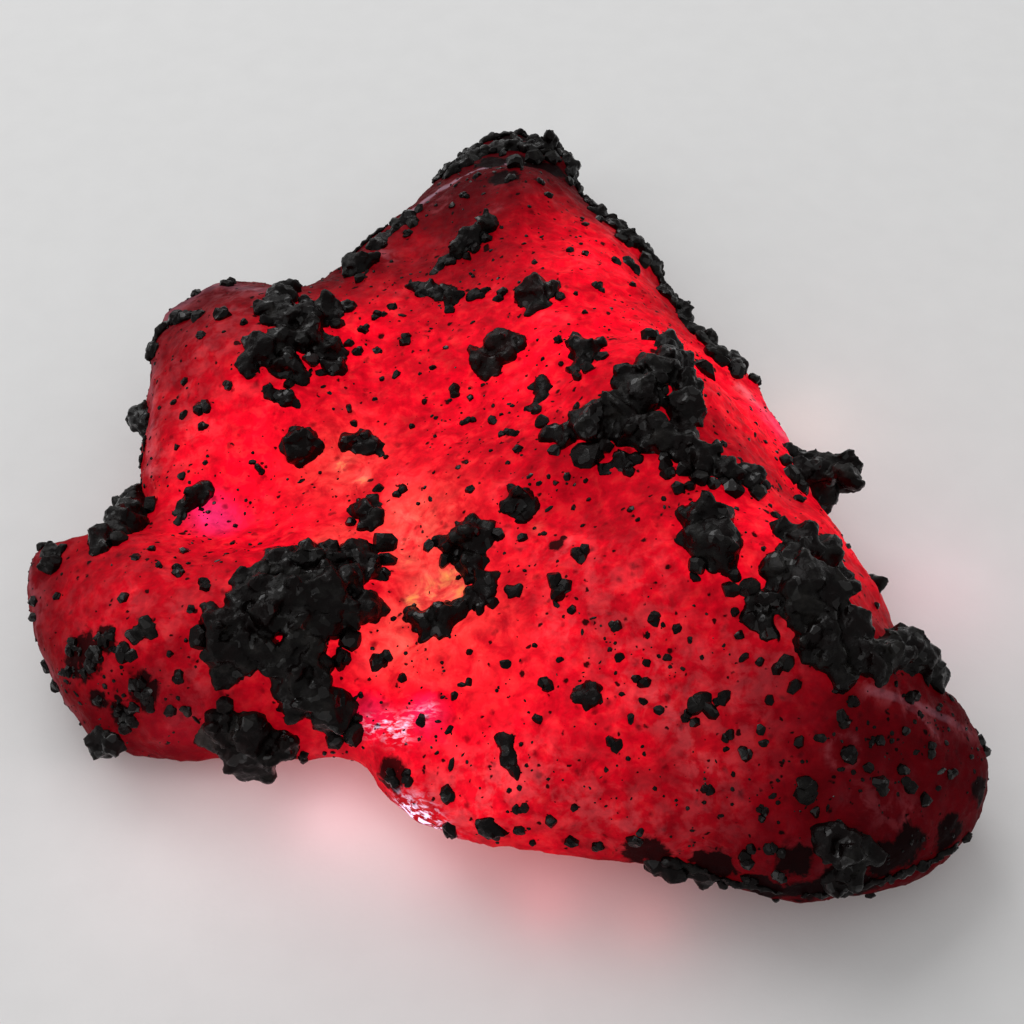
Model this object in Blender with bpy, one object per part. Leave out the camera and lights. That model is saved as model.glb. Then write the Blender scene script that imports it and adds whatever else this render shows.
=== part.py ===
"""A raw ruby crystal: one water-worn red stone, humped and three-lobed, with grains of a black mineral grown on it.

Lengths are metres and +Z is up. The stone lies on its worn base, whose flat patches are at z = 0.
Places on the stone are read as pixels of a square picture of it, PICTURE_PIXELS across, taken from in front and above.
sight_line turns such a pixel into a line in space, and seen_at and spot_on give the place where that line meets a level
or the stone itself. Sizes are real ones.
"""

import math
import random

import bmesh
import bpy
from mathutils import Matrix, Vector, noise
from mathutils.bvhtree import BVHTree

# Driving dimensions
PICTURE_WIDTH = 0.0681  # width that the picture covers at the stone's middle
RIM_LEVEL = 0.0045  # height of the widest line round the stone
CROWN = 0.0062  # rise of the plain pillow shape above the rim
HOLLOW_LEVEL = 0.0031  # height of the arched underside above the ground
FOOT_DROP = 0.0062  # how far the feet come down from the hollow, before they are worn flat
SEAT_GAP = 0.0004  # left between a black grain and the stone under it

# The picture's viewpoint
PICTURE_PIXELS = 1024
VIEW_ELEVATION = math.radians(50)
VIEW_HALF_ANGLE = math.radians(18)
VIEW_DISTANCE = PICTURE_WIDTH / 2 / math.tan(VIEW_HALF_ANGLE)
VIEW_CENTRE = Vector((0.0, 0.0, 0.006))

# Fineness of the stone's faces
STONE_SUBDIVISIONS = 6
EVEN_FACE = 0.0007
STONE_SHARE_KEPT = 0.104
CURVE_STEPS = 8  # points of the smooth outline for each point of OUTLINE

# How the top swells from the rim to the crown, and the underside to the hollow: lower powers make fuller edges
FILL_OUT = 0.94
TOP_FULLNESS = 0.62
UNDERSIDE_FULLNESS = 0.45

# The worn skin: heights of its swells, creases and knocks, and their lengths
SWELL, SWELL_LENGTH = 0.00085, 0.0075
CREASE, CREASE_LENGTH, CREASE_WIDTH, CREASE_HEIGHT = 0.0004, 0.009, 0.0026, 0.006
CREASE_BEARING = math.radians(-32)
KNOCK, KNOCK_LENGTH = 0.00016, 0.0021
UNDERSIDE_ROUGHNESS = 0.35

# The stone's middle, from which its outline is swept
STONE_MIDDLE = (420, 588)

# The outline, clockwise from the far peak: for each stretch the level at which its edge shows, and the edge's pixels
OUTLINE = (
    # far lobe, with its square right shoulder
    (0.0060, ((490, 144), (522, 136), (552, 143), (571, 158), (574, 186), (596, 212))),
    # long right flank
    (0.0062, ((641, 250), (677, 298), (708, 347), (752, 383), (776, 418), (794, 447))),
    (0.0080, ((834, 500), (857, 550), (884, 594), (908, 634), (940, 684))),
    # blunt right nose
    (0.0065, ((976, 720), (1001, 756), (999, 800))),
    (0.0043, ((970, 843), (922, 874), (880, 888), (838, 893), (796, 895))),
    # near edge, up to the bite in it
    (0.0042, ((750, 886), (700, 878), (640, 870), (600, 857), (555, 848), (510, 848), (466, 843))),
    (0.0044, ((430, 830), (402, 816), (376, 796), (366, 772), (352, 760), (318, 757))),
    # lower left lobe
    (0.0046, ((270, 752), (220, 752), (165, 752), (118, 742), (82, 730), (58, 705), (39, 668), (32, 620))),
    (0.0060, ((27, 582), (38, 563), (62, 560), (92, 556), (120, 540), (143, 514))),
    # upper left lobe
    (0.0060, ((142, 470), (144, 430), (143, 392), (147, 350), (164, 322))),
    (0.0066, ((190, 302), (222, 284), (258, 284), (296, 289), (326, 278))),
    # left side of the far lobe
    (0.0062, ((350, 267), (375, 238), (411, 203), (443, 177), (466, 159))),
)

# Hills and dips of the top: pixel, rise, reach
HILLS = (
    ((540, 215), 0.0030, 0.0075),
    ((590, 330), 0.0036, 0.0085),
    ((660, 440), 0.0050, 0.0085),
    ((740, 570), 0.0052, 0.0090),
    ((850, 700), 0.0045, 0.0085),
    ((560, 560), 0.0020, 0.0100),
    ((640, 720), 0.0012, 0.0080),
    ((110, 610), 0.0022, 0.0070),
    ((220, 340), 0.0030, 0.0070),
    ((300, 620), 0.0018, 0.0060),
    ((215, 510), -0.0018, 0.0050),
    ((330, 480), -0.0008, 0.0050),
    ((400, 740), -0.0022, 0.0055),
    ((430, 590), -0.0010, 0.0045),
)

# Feet of the underside: pixel at ground level, reach
FEET = (
    ((140, 660), 0.0070),
    ((235, 330), 0.0060),
    ((520, 235), 0.0075),
    ((830, 740), 0.0090),
)

# Wide pits of the top: pixel, depth, reach
PITS = (
    ((440, 204), 0.0006, 0.0016),
    ((402, 238), 0.0006, 0.0016),
    ((350, 475), 0.0008, 0.0020),
    ((470, 425), 0.0007, 0.0018),
    ((556, 545), 0.0007, 0.0018),
    ((120, 690), 0.0009, 0.0022),
    ((680, 760), 0.0007, 0.0024),
    ((740, 700), 0.0008, 0.0024),
    ((900, 760), 0.0008, 0.0024),
    ((590, 790), 0.0007, 0.0022),
    ((760, 830), 0.0007, 0.0022),
    ((215, 400), 0.0008, 0.0022),
)

# Black grains, cluster by cluster: pixel, radius in millimetres
CLUSTERS = {
    "black_cluster_crest": (
        (655, 374, 1.6), (684, 388, 1.5), (624, 384, 1.3), (648, 410, 1.5), (684, 418, 1.6), (616, 412, 1.3),
        (590, 430, 1.6), (562, 438, 1.2), (544, 438, 0.9), (634, 438, 1.3), (662, 440, 1.5), (692, 448, 1.5),
        (712, 466, 1.2), (736, 476, 1.1), (760, 484, 1.1), (680, 360, 1.3), (706, 370, 1.2), (656, 342, 1.2),
    ),
    "black_grain_below_crest": ((621, 464, 1.1), (606, 470, 0.7)),
    "black_patch_oval": ((698, 520, 1.5), (714, 545, 1.6), (726, 562, 1.2), (696, 545, 1.2), (716, 518, 1.1)),
    "black_cluster_right": (
        (780, 530, 1.0), (806, 550, 1.5), (828, 560, 1.4), (785, 563, 1.2), (759, 594, 1.3), (780, 590, 1.2),
        (804, 585, 1.7), (828, 589, 1.4), (800, 613, 1.3), (826, 616, 1.4), (854, 628, 1.2), (843, 578, 1.0),
        (748, 606, 0.8), (756, 619, 0.8), (766, 632, 0.8), (812, 638, 1.2), (830, 655, 1.2), (843, 672, 1.2),
        (866, 658, 1.4), (888, 654, 1.4), (911, 655, 1.6), (927, 666, 1.4), (938, 681, 1.2),
    ),
    "black_cluster_right_edge": (
        (790, 450, 0.9), (802, 463, 1.2), (794, 480, 1.1), (797, 497, 0.8), (819, 475, 1.3), (823, 497, 1.2),
        (843, 474, 1.4), (849, 490, 1.1),
    ),
    "black_grain_flank": ((876, 582, 0.8),),
    "black_crust_shoulder": (
        (598, 214, 1.0), (609, 222, 0.8), (621, 238, 0.9), (635, 250, 1.0), (646, 264, 1.0), (653, 276, 0.8),
    ),
    "black_grain_shoulder": ((624, 262, 0.7), (636, 269, 0.7)),
    "black_crust_flank": (
        (671, 301, 1.0), (685, 313, 1.0), (693, 327, 0.9), (702, 343, 0.9), (717, 357, 0.9), (731, 369, 1.0),
        (745, 380, 1.0),
    ),
    "black_crust_peak": (
        (452, 173, 0.9), (466, 164, 1.0), (482, 156, 1.0), (500, 149, 1.1), (518, 146, 1.1), (536, 148, 1.0),
        (553, 154, 1.0), (567, 161, 1.2), (577, 173, 1.2), (581, 185, 1.0),
    ),
    "black_crust_left_of_peak": ((378, 246, 0.9), (390, 234, 0.8), (401, 223, 0.9), (414, 213, 0.9)),
    "black_grain_saddle": ((359, 268, 1.5),),
    "black_streak_far": ((485, 228, 1.2), (471, 240, 1.1), (458, 252, 1.0), (445, 262, 0.9), (436, 270, 0.7)),
    "black_cluster_far": ((416, 287, 0.8), (428, 291, 0.9), (444, 292, 1.0), (452, 301, 1.0)),
    "black_grain_far": ((481, 292, 0.8),),
    "black_cluster_brown": ((535, 294, 1.3), (551, 291, 1.0), (535, 310, 0.8), (519, 296, 0.8)),
    "black_patch_far": ((480, 358, 1.2), (496, 347, 1.3), (512, 344, 1.1), (492, 366, 1.0), (504, 358, 1.0)),
    "black_cluster_near_crest": ((574, 346, 1.0), (588, 352, 1.3), (578, 368, 1.0)),
    "black_grain_middle": ((541, 386, 0.8), (540, 397, 0.8), (532, 408, 0.8)),
    "black_cluster_saddle": (
        (286, 322, 1.5), (268, 314, 1.1), (286, 302, 1.2), (284, 286, 1.3), (302, 284, 1.2), (310, 322, 1.5),
        (330, 313, 1.3), (344, 308, 0.9), (306, 346, 1.6), (282, 342, 1.3), (262, 352, 1.4), (249, 363, 1.1),
        (326, 350, 1.4), (296, 370, 1.3), (332, 366, 1.1), (310, 378, 1.0),
    ),
    "black_grain_below_saddle": ((272, 398, 0.8), (286, 399, 0.8), (298, 403, 0.7)),
    "black_bar": ((350, 441, 1.0), (363, 443, 1.1), (378, 446, 0.9)),
    "black_grain_bar": ((302, 446, 1.3), (290, 448, 0.8)),
    "black_cluster_left_notch": (
        (128, 518, 1.4), (140, 502, 1.3), (122, 502, 1.1), (112, 524, 1.2), (112, 539, 1.2), (97, 538, 1.1),
        (132, 532, 1.1), (102, 549, 0.9),
    ),
    "black_grain_left_edge": ((139, 414, 0.8), (139, 428, 1.1), (142, 442, 1.0)),
    "black_streak_left": ((207, 489, 0.8), (196, 496, 0.9), (184, 505, 0.8), (179, 516, 0.8)),
    "black_grain_left_tip": ((52, 553, 1.0), (48, 568, 0.9)),
    "black_cluster_left": (
        (262, 570, 0.9), (308, 553, 1.2), (322, 563, 1.4), (240, 586, 1.1), (256, 595, 1.4), (237, 607, 1.2),
        (278, 597, 1.3), (269, 615, 1.3), (302, 595, 1.4), (328, 592, 1.5), (324, 618, 1.4), (296, 618, 1.2),
        (208, 630, 1.3), (230, 626, 1.3), (347, 613, 1.4), (219, 655, 1.3), (241, 650, 1.4), (226, 673, 1.0),
        (261, 646, 1.2), (276, 660, 1.3), (287, 679, 1.3), (311, 668, 1.4), (308, 690, 1.4), (294, 704, 1.1),
        (388, 547, 1.2), (370, 556, 1.3), (379, 574, 1.1), (370, 608, 1.2), (356, 582, 1.2), (306, 645, 1.3),
        (341, 716, 1.6),
    ),
    "black_grain_left_lobe": ((147, 628, 0.8), (137, 637, 0.8)),
    "black_triangle": ((363, 511, 1.2), (371, 522, 0.9)),
    "black_cluster_left_foot": (
        (225, 722, 1.4), (212, 737, 1.1), (248, 728, 1.5), (254, 755, 1.7), (284, 740, 1.4), (232, 745, 1.3),
    ),
    "black_grain_ground": ((104, 740, 1.2), (114, 743, 1.0)),
    "black_cluster_centre": (
        (452, 546, 1.0), (470, 534, 1.4), (486, 530, 1.0), (478, 552, 1.2), (474, 570, 1.1), (486, 584, 1.1),
        (484, 597, 0.9), (440, 546, 0.7), (468, 602, 0.9), (458, 610, 1.0), (444, 621, 1.2), (428, 622, 1.1),
        (412, 618, 0.8), (446, 633, 0.8),
    ),
    "black_grain_centre": ((520, 495, 0.9), (530, 507, 0.9), (519, 511, 0.7)),
    "black_grain_beside_centre": ((516, 588, 0.8),),
    "black_grain_slope": ((587, 690, 0.8), (586, 700, 0.8)),
    "black_grain_front": ((504, 745, 0.8), (510, 755, 0.8), (512, 765, 0.7)),
    "black_patch_nose": ((830, 838, 1.2), (848, 848, 1.4), (866, 852, 1.2), (852, 866, 1.2), (838, 880, 1.1)),
    "black_crust_front": ((655, 865, 0.8), (668, 869, 0.9), (682, 872, 0.9), (697, 873, 0.8), (710, 877, 0.8)),
    "black_grain_front_edge": ((490, 830, 1.0),),
}

# Black grains out of the picture's sight: bearing from the stone's middle in degrees, height and radius in millimetres
HIDDEN_CLUSTERS = {
    "black_cluster_back": ((48, 4.0, 1.5), (46, 4.5, 1.3), (50, 3.5, 1.3), (45, 3.3, 1.2)),
    "black_cluster_back_left": ((112, 3.9, 1.2), (116, 4.4, 1.1), (109, 3.3, 0.9)),
    "black_cluster_back_nose": ((-3, 4.2, 1.3), (0, 5.0, 1.1), (-6, 3.5, 1.0)),
    "black_cluster_back_peak": ((80, 3.6, 1.1), (77, 4.3, 1.0), (83, 3.0, 0.9)),
}

# How the black grains grow
OUTGROWN = ("black_cluster_right_edge",)  # clusters whose grains stand on one another, away from the stone
STAND_OFF = 0.35  # the most that the middle of any other grain is off the stone, as a share of its radius
STANDING = 0.0001  # a grain this close to the stone stands on it, and one further away on its neighbours
GRAIN_CORNERS = 10
CORNER_STRAY = 0.35  # radians by which a grain's corners stray round it
GRAIN_SPREAD = (1.0, 1.3)  # half width of a grain along the stone, as shares of its radius
GRAIN_HEIGHT = (0.75, 1.0)  # half height of a grain off the stone, as shares of its radius
GRAIN_LIFT = 0.25  # how far a grain's middle stands above the stone, as a share of its radius
GRAIN_LEAN = math.radians(25)  # the most that a grain leans
GRAIN_HOLD = 0.62  # the most that the middles of neighbours are apart, as a share of both radii together
GRAIN_SHARE_KEPT = 0.43  # share of a cluster's faces that is kept
SEARCH_STEP = 0.0005
SEARCH_STEPS = 30  # a sight line that misses the stone is searched up to this many steps above the ground

# The slab that wears the base flat
GROUND_WIDTH, GROUND_DEPTH = 0.12, 0.02

RUBY_RED = (0.55, 0.01, 0.03, 1.0)
BLACK_MINERAL = (0.015, 0.016, 0.015, 1.0)


def clear_scene():
    for obj in list(bpy.data.objects):
        bpy.data.objects.remove(obj)


def material(name, colour, roughness, metallic=0.0):
    made = bpy.data.materials.new(name)
    made.use_nodes = True
    shader = made.node_tree.nodes["Principled BSDF"]
    shader.inputs["Base Color"].default_value = colour
    shader.inputs["Roughness"].default_value = roughness
    shader.inputs["Metallic"].default_value = metallic
    return made


def linked_object(name, mesh):
    obj = bpy.data.objects.new(name, mesh)
    bpy.context.scene.collection.objects.link(obj)
    return obj


def sight_line(pixel):
    """The eye, and the direction in which it sees a pixel of the picture."""
    forward = Vector((0.0, math.cos(VIEW_ELEVATION), -math.sin(VIEW_ELEVATION)))
    upward = Vector((0.0, math.sin(VIEW_ELEVATION), math.cos(VIEW_ELEVATION)))
    eye = VIEW_CENTRE - forward * VIEW_DISTANCE
    half = PICTURE_PIXELS / 2
    across = (pixel[0] - half) / half * math.tan(VIEW_HALF_ANGLE)
    up = (half - pixel[1]) / half * math.tan(VIEW_HALF_ANGLE)
    return eye, (forward + upward * up + Vector((1.0, 0.0, 0.0)) * across).normalized()


def seen_at(pixel, level):
    """Where the sight line of a pixel crosses a level."""
    eye, direction = sight_line(pixel)
    return eye + direction * ((level - eye.z) / direction.z)


def plan_outline():
    """The outline in plan, as a smooth closed curve through the points of OUTLINE."""
    corners = [seen_at(pixel, level).xy for level, pixels in OUTLINE for pixel in pixels]
    points = []
    for i in range(len(corners)):
        before, start, end, after = (corners[(i + k - 1) % len(corners)] for k in range(4))
        for step in range(CURVE_STEPS):
            t = step / CURVE_STEPS
            points.append(
                0.5
                * (
                    2 * start
                    + (end - before) * t
                    + (2 * before - 5 * start + 4 * end - after) * t**2
                    + (3 * start - before - 3 * end + after) * t**3
                )
            )
    return points


def reach_by_bearing(points, middle):
    """A function that gives the outline's distance from the middle in a direction."""
    spokes = sorted((math.atan2(*(p - middle).yx), (p - middle).length) for p in points)
    spokes = [(spokes[-1][0] - math.tau, spokes[-1][1])] + spokes + [(spokes[0][0] + math.tau, spokes[0][1])]

    def reach(bearing):
        low, high = 0, len(spokes) - 1
        while high - low > 1:
            half = (low + high) // 2
            low, high = (half, high) if spokes[half][0] <= bearing else (low, half)
        (a, near), (b, far) = spokes[low], spokes[high]
        share = (bearing - a) / (b - a) if b > a else 0.0
        return near + (far - near) * share

    return reach


def mound(place, centre, reach):
    """1 at the centre, falling smoothly to nothing at about twice the reach."""
    return math.exp(-((place - centre).length_squared) / (reach * reach))


def placed(marks, level):
    """Marks whose first value is a pixel, with that pixel's place in plan instead."""
    return [(seen_at(mark[0], level).xy, *mark[1:]) for mark in marks]


def stone_shape():
    """A function that carries a point of the unit sphere to the stone's surface."""
    middle = seen_at(STONE_MIDDLE, RIM_LEVEL).xy
    reach = reach_by_bearing(plan_outline(), middle)
    hills = placed(HILLS, RIM_LEVEL + CROWN)
    pits = placed(PITS, RIM_LEVEL + CROWN)
    feet = placed(FEET, 0.0)

    def top(place):
        rise = sum(height * mound(place, centre, spread) for centre, height, spread in hills)
        sunk = sum(depth * mound(place, centre, spread) for centre, depth, spread in pits)
        return CROWN + rise - sunk

    def underside(place):
        drop = max(mound(place, centre, spread) for centre, spread in feet) * FOOT_DROP
        return RIM_LEVEL - HOLLOW_LEVEL + drop

    def shaped(point):
        bearing = math.atan2(point.y, point.x)
        plan = math.sqrt(point.x**2 + point.y**2)
        edge = reach(bearing)
        place = middle + Vector((math.cos(bearing), math.sin(bearing))) * edge * plan**FILL_OUT
        if point.z >= 0:
            z = RIM_LEVEL + top(place) * point.z**TOP_FULLNESS
        else:
            z = RIM_LEVEL - underside(place) * (-point.z) ** UNDERSIDE_FULLNESS
        return Vector((place.x, place.y, z))

    return shaped


def roughened(point, normal):
    """The worn, lumpy skin: broad swells, creases that run across the stone, and small knocks."""
    swell = noise.noise(point / SWELL_LENGTH) * SWELL
    along, across, up = Matrix.Rotation(CREASE_BEARING, 3, "Z") @ point
    crease_place = Vector((along / CREASE_LENGTH, across / CREASE_WIDTH, up / CREASE_HEIGHT))
    crease = noise.noise(crease_place) * CREASE
    knocks = noise.hetero_terrain(point / KNOCK_LENGTH, 0.8, 2.2, 3, 0.4) * KNOCK
    strength = 1.0 if normal.z > 0 else UNDERSIDE_ROUGHNESS
    return point + normal * (swell + (crease - knocks) * strength)


def ruby_body():
    shaped = stone_shape()
    bm = bmesh.new()
    bmesh.ops.create_icosphere(bm, subdivisions=STONE_SUBDIVISIONS, radius=1.0)
    for vertex in bm.verts:
        vertex.co = shaped(vertex.co.copy())
    bm.normal_update()
    moved = [roughened(vertex.co, vertex.normal) for vertex in bm.verts]
    for vertex, place in zip(bm.verts, moved):
        vertex.co = place
    mesh = bpy.data.meshes.new("ruby")
    bm.to_mesh(mesh)
    bm.free()
    body = linked_object("ruby", mesh)
    evened = body.modifiers.new("even faces", "REMESH")
    evened.mode = "VOXEL"
    evened.voxel_size = EVEN_FACE
    thinned = body.modifiers.new("fewer faces", "DECIMATE")
    thinned.ratio = STONE_SHARE_KEPT
    worn = body.modifiers.new("worn base", "BOOLEAN")
    worn.operation = "DIFFERENCE"
    worn.object = ground_cutter()
    body.data.materials.append(material("ruby", RUBY_RED, 0.35))
    return body


def ground_cutter():
    """A slab under the ground's level, which takes off what the feet have worn away."""
    bm = bmesh.new()
    bmesh.ops.create_cube(bm, size=1.0)
    bmesh.ops.scale(bm, vec=(GROUND_WIDTH, GROUND_WIDTH, GROUND_DEPTH), verts=bm.verts)
    bmesh.ops.translate(bm, vec=(0.0, 0.0, -GROUND_DEPTH / 2), verts=bm.verts)
    mesh = bpy.data.meshes.new("ground_cutter")
    bm.to_mesh(mesh)
    bm.free()
    return as_cutter(linked_object("ground_cutter", mesh))


def as_cutter(obj):
    obj.hide_render = True
    obj.display_type = "WIRE"
    return obj


def final_mesh(obj):
    """The object's mesh with its modifiers worked out."""
    graph = bpy.context.evaluated_depsgraph_get()
    return bpy.data.meshes.new_from_object(obj.evaluated_get(graph))


def seat_cutter(stone_mesh):
    """The stone grown by SEAT_GAP, which trims the underside of the black grains."""
    bm = bmesh.new()
    bm.from_mesh(stone_mesh)
    bm.normal_update()
    grown = [vertex.co + vertex.normal * SEAT_GAP for vertex in bm.verts]
    for vertex, place in zip(bm.verts, grown):
        vertex.co = place
    mesh = bpy.data.meshes.new("seat_cutter")
    bm.to_mesh(mesh)
    bm.free()
    return as_cutter(linked_object("seat_cutter", mesh))


def spot_on(tree, pixel):
    """The place where a pixel sees the stone, or where its sight line passes closest, and the stone's normal there."""
    eye, direction = sight_line(pixel)
    place, normal, _, _ = tree.ray_cast(eye, direction)
    if place is None:
        passing = [seen_at(pixel, step * SEARCH_STEP) for step in range(SEARCH_STEPS)]
        place = min(passing, key=lambda point: tree.find_nearest(point)[3])
        normal = tree.find_nearest(place)[1]
    return place, normal


def spot_beside(tree, bearing, height):
    """The place and the outward normal of the stone at a bearing from its middle and a height."""
    middle = seen_at(STONE_MIDDLE, RIM_LEVEL)
    outward = Matrix.Rotation(math.radians(bearing), 3, "Z") @ Vector((1.0, 0.0, 0.0))
    start = Vector((middle.x, middle.y, height)) + outward * PICTURE_WIDTH
    return tree.ray_cast(start, -outward)[:2]


def near_stone(tree, place, furthest):
    """The place, moved straight towards the stone until it is no further off than it may be."""
    surface, _, _, away = tree.find_nearest(place)
    return place if away <= furthest else surface + (place - surface) * furthest / away


def drawn_in(tree, spot, radius, neighbours):
    """The spot, moved until a grain there holds on to the nearest of its neighbours."""
    place, normal = spot
    if not neighbours:
        return spot
    held, held_radius = min(neighbours, key=lambda other: (other[0] - place).length - other[1])
    furthest = (radius + held_radius) * GRAIN_HOLD
    away = (place - held).length
    if away > furthest:
        moved = held + (place - held) * furthest / away
        standing = tree.find_nearest(place)[3] < STANDING
        place = tree.find_nearest(moved)[0] if standing else moved
    return place, normal


def add_grain(bm, place, normal, radius, chance):
    """One black grain: the flat-faced hull of a few corners on a squashed ball that leans a little."""
    lean = Matrix.Rotation(chance.uniform(-GRAIN_LEAN, GRAIN_LEAN), 3, "X")
    lean @= Matrix.Rotation(chance.uniform(0, math.tau), 3, "Z")
    stand = normal.to_track_quat("Z", "Y").to_matrix() @ lean
    wide, deep = (radius * chance.uniform(*GRAIN_SPREAD) for _ in range(2))
    high = radius * chance.uniform(*GRAIN_HEIGHT)
    centre = place + normal * radius * GRAIN_LIFT
    corners = []
    for i in range(GRAIN_CORNERS):
        level = 1 - 2 * (i + 0.5) / GRAIN_CORNERS
        around = i * math.pi * (3 - math.sqrt(5)) + chance.uniform(-CORNER_STRAY, CORNER_STRAY)
        ring = math.sqrt(1 - level * level)
        corner = Vector((ring * math.cos(around) * wide, ring * math.sin(around) * deep, level * high))
        corners.append(bm.verts.new(centre + stand @ corner))
    hull = bmesh.ops.convex_hull(bm, input=corners)
    inside = [item for item in hull["geom_interior"] if isinstance(item, bmesh.types.BMVert)]
    bmesh.ops.delete(bm, geom=inside, context="VERTS")


def drop_crumbs(obj):
    """Works out the object's modifiers and keeps the largest body that they leave, without the loose crumbs."""
    mesh = final_mesh(obj)
    bm = bmesh.new()
    bm.from_mesh(mesh)
    waiting = set(bm.verts)
    bodies = []
    while waiting:
        body, edge = set(), {waiting.pop()}
        while edge:
            body |= edge
            edge = {link.other_vert(vertex) for vertex in edge for link in vertex.link_edges} - body
        waiting -= body
        bodies.append(body)
    bodies.sort(key=len)
    bmesh.ops.delete(bm, geom=[vertex for body in bodies[:-1] for vertex in body], context="VERTS")
    bm.to_mesh(mesh)
    bm.free()
    obj.modifiers.clear()
    obj.data = mesh


def black_cluster(name, spots, tree, cutter, finish):
    """One node of black grains that hold on to one another, from their spots on the stone and their radii."""
    chance = random.Random(name)
    bm = bmesh.new()
    grown = []
    for spot, millimetres in spots:
        radius = millimetres / 1000
        if name not in OUTGROWN or not grown:
            spot = near_stone(tree, spot[0], radius * STAND_OFF), spot[1]
        place, normal = drawn_in(tree, spot, radius, grown)
        grown.append((place, radius))
        add_grain(bm, place, normal, radius, chance)
    mesh = bpy.data.meshes.new(name)
    bm.to_mesh(mesh)
    bm.free()
    cluster = linked_object(name, mesh)
    seat = cluster.modifiers.new("seat on the stone", "BOOLEAN")
    seat.operation = "DIFFERENCE"
    seat.object = cutter
    seat.use_self = True
    thinned = cluster.modifiers.new("fewer faces", "DECIMATE")
    thinned.ratio = GRAIN_SHARE_KEPT
    drop_crumbs(cluster)
    cluster.data.materials.append(finish)
    return cluster


def centre_on_base(pieces):
    """Moves everything so that the origin is the middle of the base."""
    corners = [piece.matrix_world @ vertex.co for piece in pieces for vertex in final_mesh(piece).vertices]
    low = [min(corner[i] for corner in corners) for i in range(3)]
    high = [max(corner[i] for corner in corners) for i in range(3)]
    shift = Vector((-(low[0] + high[0]) / 2, -(low[1] + high[1]) / 2, -low[2]))
    for obj in bpy.data.objects:
        obj.location += shift
    bpy.context.view_layer.update()


def main():
    clear_scene()
    body = ruby_body()
    stone_mesh = final_mesh(body)
    tree = BVHTree.FromPolygons(
        [vertex.co.copy() for vertex in stone_mesh.vertices], [tuple(face.vertices) for face in stone_mesh.polygons]
    )
    cutter = seat_cutter(stone_mesh)
    finish = material("black mineral", BLACK_MINERAL, 0.3)
    spots = {name: [(spot_on(tree, (x, y)), size) for x, y, size in grains] for name, grains in CLUSTERS.items()}
    for name, grains in HIDDEN_CLUSTERS.items():
        spots[name] = [(spot_beside(tree, bearing, height / 1000), size) for bearing, height, size in grains]
    clusters = [black_cluster(name, grains, tree, cutter, finish) for name, grains in spots.items()]
    centre_on_base([body, *clusters])


main()
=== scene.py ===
import math
import random

import bpy
import numpy as np
from mathutils import Euler, Matrix, Vector, noise
from mathutils.bvhtree import BVHTree


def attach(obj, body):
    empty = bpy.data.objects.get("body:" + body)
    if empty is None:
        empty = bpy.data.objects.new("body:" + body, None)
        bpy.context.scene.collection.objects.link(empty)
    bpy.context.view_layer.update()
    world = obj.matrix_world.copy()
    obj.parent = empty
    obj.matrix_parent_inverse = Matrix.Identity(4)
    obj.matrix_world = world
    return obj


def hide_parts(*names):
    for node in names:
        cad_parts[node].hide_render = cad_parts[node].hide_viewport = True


bl_info = {
    "name": "Raw Ruby",
    "version": (1, 0, 0),
    "blender": (4, 5, 0),
    "location": "View3D > Sidebar > Raw Ruby",
    "description": "Dresses the solids of a raw ruby as a water-worn red stone lit from below, "
    "with black mineral grown on it",
    "category": "Add Mesh",
}

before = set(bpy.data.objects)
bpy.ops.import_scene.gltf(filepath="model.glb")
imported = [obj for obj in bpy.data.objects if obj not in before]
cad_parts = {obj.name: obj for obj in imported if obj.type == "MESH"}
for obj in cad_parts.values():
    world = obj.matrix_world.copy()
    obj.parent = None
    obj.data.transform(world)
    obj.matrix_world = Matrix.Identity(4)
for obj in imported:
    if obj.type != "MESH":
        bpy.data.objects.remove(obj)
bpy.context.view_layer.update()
MM = 0.001

# The picture's viewpoint: places on the stone are read as pixels of a square picture
PICTURE_PIXELS = 1024
PICTURE_WIDTH = 0.0681
VIEW_ELEVATION = math.radians(50)
VIEW_HALF_ANGLE = math.radians(18)
VIEW_DISTANCE = PICTURE_WIDTH / 2 / math.tan(VIEW_HALF_ANGLE)
VIEW_CENTRE = Vector((0.00151, -0.00686, 0.006))
FORWARD = Vector((0.0, math.cos(VIEW_ELEVATION), -math.sin(VIEW_ELEVATION)))
UPWARD = Vector((0.0, math.sin(VIEW_ELEVATION), math.cos(VIEW_ELEVATION)))

# Painted light: where a lamp beneath would shine up through the stone, painted as the stone's own glow: pixel,
# strength, reach in millimetres
LIGHT_THROUGH = (
    ((350, 520), 0.77, 11.0),
    ((420, 530), 0.22, 4.0),
    ((230, 455), 0.55, 6.0),
    ((190, 350), 0.13, 5.0),
    ((370, 330), 0.57, 5.0),
    ((405, 250), 0.13, 3.5),
    ((560, 330), 0.75, 8.5),
    ((600, 250), 0.73, 5.5),
    ((655, 335), 0.33, 4.0),
    ((470, 380), 0.14, 6.0),
    ((750, 410), 0.88, 6.5),
    ((660, 480), 0.16, 6.5),
    ((790, 540), 0.66, 5.5),
    ((850, 545), 0.58, 5.5),
    ((560, 620), 0.40, 9.0),
    ((500, 760), 0.46, 8.0),
    ((410, 700), 0.48, 5.0),
    ((110, 585), 0.29, 5.0),
    ((212, 516), 0.30, 2.2),
    ((438, 592), 0.15, 2.0),
    ((695, 742), 0.09, 5.0),
)
FAINT_LIGHT = 0.02

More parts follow.
